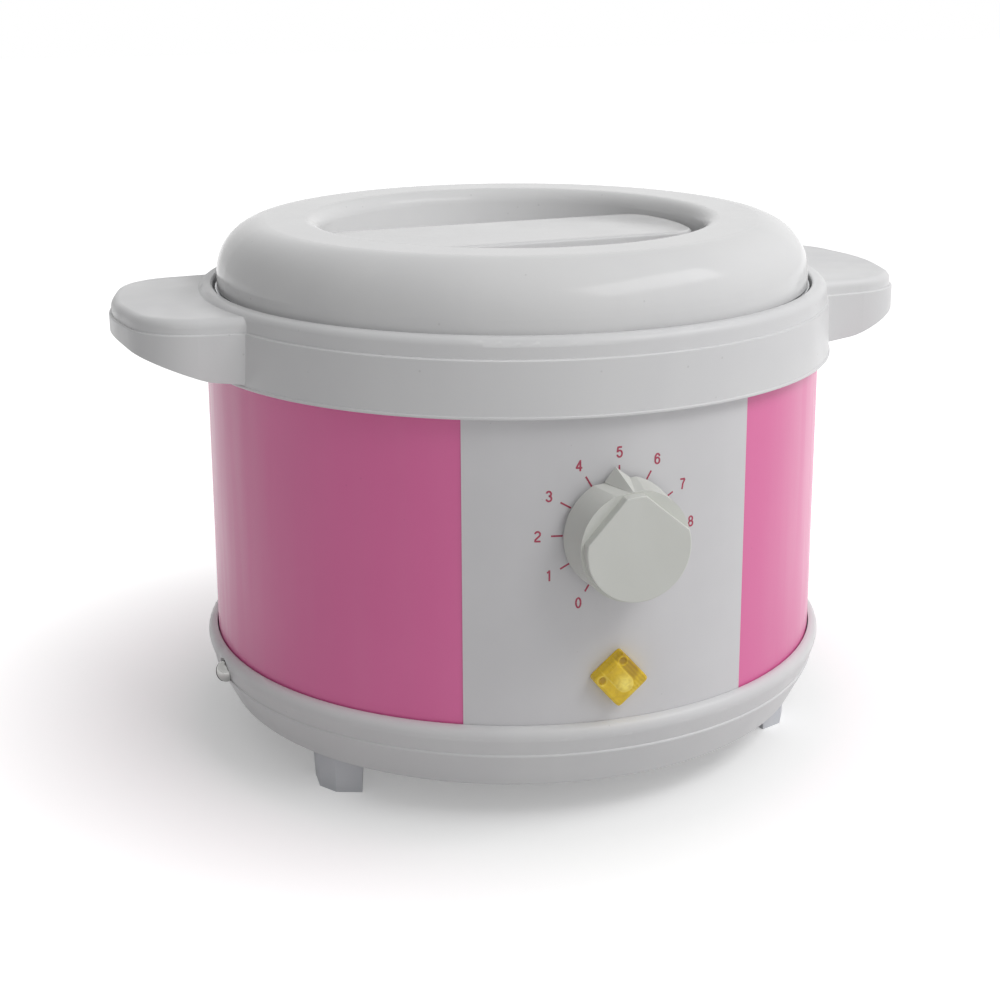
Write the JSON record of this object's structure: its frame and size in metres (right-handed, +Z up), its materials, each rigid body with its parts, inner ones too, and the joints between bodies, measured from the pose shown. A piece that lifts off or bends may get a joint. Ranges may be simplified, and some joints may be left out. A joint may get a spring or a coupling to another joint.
{
  "type": "wax heater",
  "caption": "Round electric wax melting pot with a domed lid and grip bar, ear handles, dial thermostat, pilot lamp and short feet.",
  "frame": {"origin": "on the pot's axis, at the level that the four feet stand on", "axes": "+Z up, control panel and knob facing -Y, ear handles along +X and -X"},
  "size_m": [0.26, 0.2207, 0.1677],
  "materials": {
    "body_paint": "gloss pink stove enamel on steel sheet",
    "panel_print": "light grey satin printed aluminium foil",
    "white_plastic": "white moulded plastic, soft gloss",
    "lid_plastic": "white moulded plastic, polished",
    "knob_plastic": "white moulded plastic, faintly cool",
    "foot_plastic": "blue-grey soft plastic",
    "bright_steel": "bright nickel-plated screws",
    "plated_steel": "zinc-plated steel",
    "aluminium": "spun aluminium",
    "lamp_amber": "clear amber lens",
    "lamp_white": "white heat-proof plastic",
    "clear_glass": "clear glass",
    "dark_plastic": "dark phenolic plastic",
    "ceramic": "unglazed steatite",
    "brass": "brass",
    "copper": "copper",
    "rubber": "black rubber",
    "glass_wool": "needled glass wool",
    "wire_brown": "silicone-insulated wire",
    "wire_blue": "silicone-insulated wire",
    "wire_green": "silicone-insulated wire",
    "wire_white": "fibreglass-sleeved wire"
  },
  "bodies": {
    "housing": {"base_pan": "white_plastic", "base_side_screws": "bright_steel", "body_shell": "body_paint", "bulb_clips": "plated_steel", "capillary_tube": "copper", "cord_grommet": "rubber", "earth_lug": "brass", "earth_wire": "wire_green", "foot_front_left": "foot_plastic", "foot_front_right": "foot_plastic", "foot_rear_left": "foot_plastic", "foot_rear_right": "foot_plastic", "foot_screws": "plated_steel", "front_panel": "panel_print", "fuse_clip": "plated_steel", "fuse_to_heater_wire": "wire_white", "heat_shield": "plated_steel", "heater_clamp_plate": "plated_steel", "heater_element": "plated_steel", "heater_stud": "plated_steel", "heating_well": "aluminium", "insulation_blanket": "glass_wool", "lamp_clip": "plated_steel", "lamp_housing": "lamp_white", "lamp_lens": "lamp_amber", "lamp_wires": "wire_white", "live_wire": "wire_brown", "neon_bulb": "clear_glass", "neutral_wire": "wire_blue", "ring_screws": "plated_steel", "sensor_bulb": "copper", "shield_spacer": "plated_steel", "side_clip_nuts": "plated_steel", "stud_nut": "plated_steel", "stud_washer": "plated_steel", "terminal_block": "ceramic", "terminal_block_screw": "plated_steel", "terminal_clamp_screws": "brass", "thermal_fuse": "wire_white", "thermostat_body": "dark_plastic", "thermostat_screws": "plated_steel", "thermostat_tabs": "brass", "thermostat_to_fuse_wire": "wire_brown", "top_ring": "white_plastic", "well_screws": "plated_steel"},
    "wax_pot_unit": {"wax_pot": "aluminium", "pot_lug_front": "aluminium", "pot_lug_rear": "aluminium", "pot_lug_rivets": "aluminium"},
    "lid": {"lid_shell": "lid_plastic", "lid_grip": "lid_plastic", "lid_grip_screws": "plated_steel"},
    "knob": {"control_knob": "knob_plastic", "knob_spring": "plated_steel", "thermostat_spindle": "plated_steel"}
  },
  "joints": [
    {"name": "pot_lift", "type": "slide", "parent": "housing", "child": "wax_pot_unit", "axis": [0, 0, 1], "range_m": [0, 0.12]},
    {"name": "lid_lift", "type": "slide", "parent": "wax_pot_unit", "child": "lid", "axis": [0, 0, 1], "range_m": [0, 0.1]},
    {"name": "knob_turn", "type": "hinge", "parent": "housing", "child": "knob", "pos_m": [0, -0.1, 0.09104], "axis": [0, -1, 0], "range_deg": [-94, 146]}
  ]
}
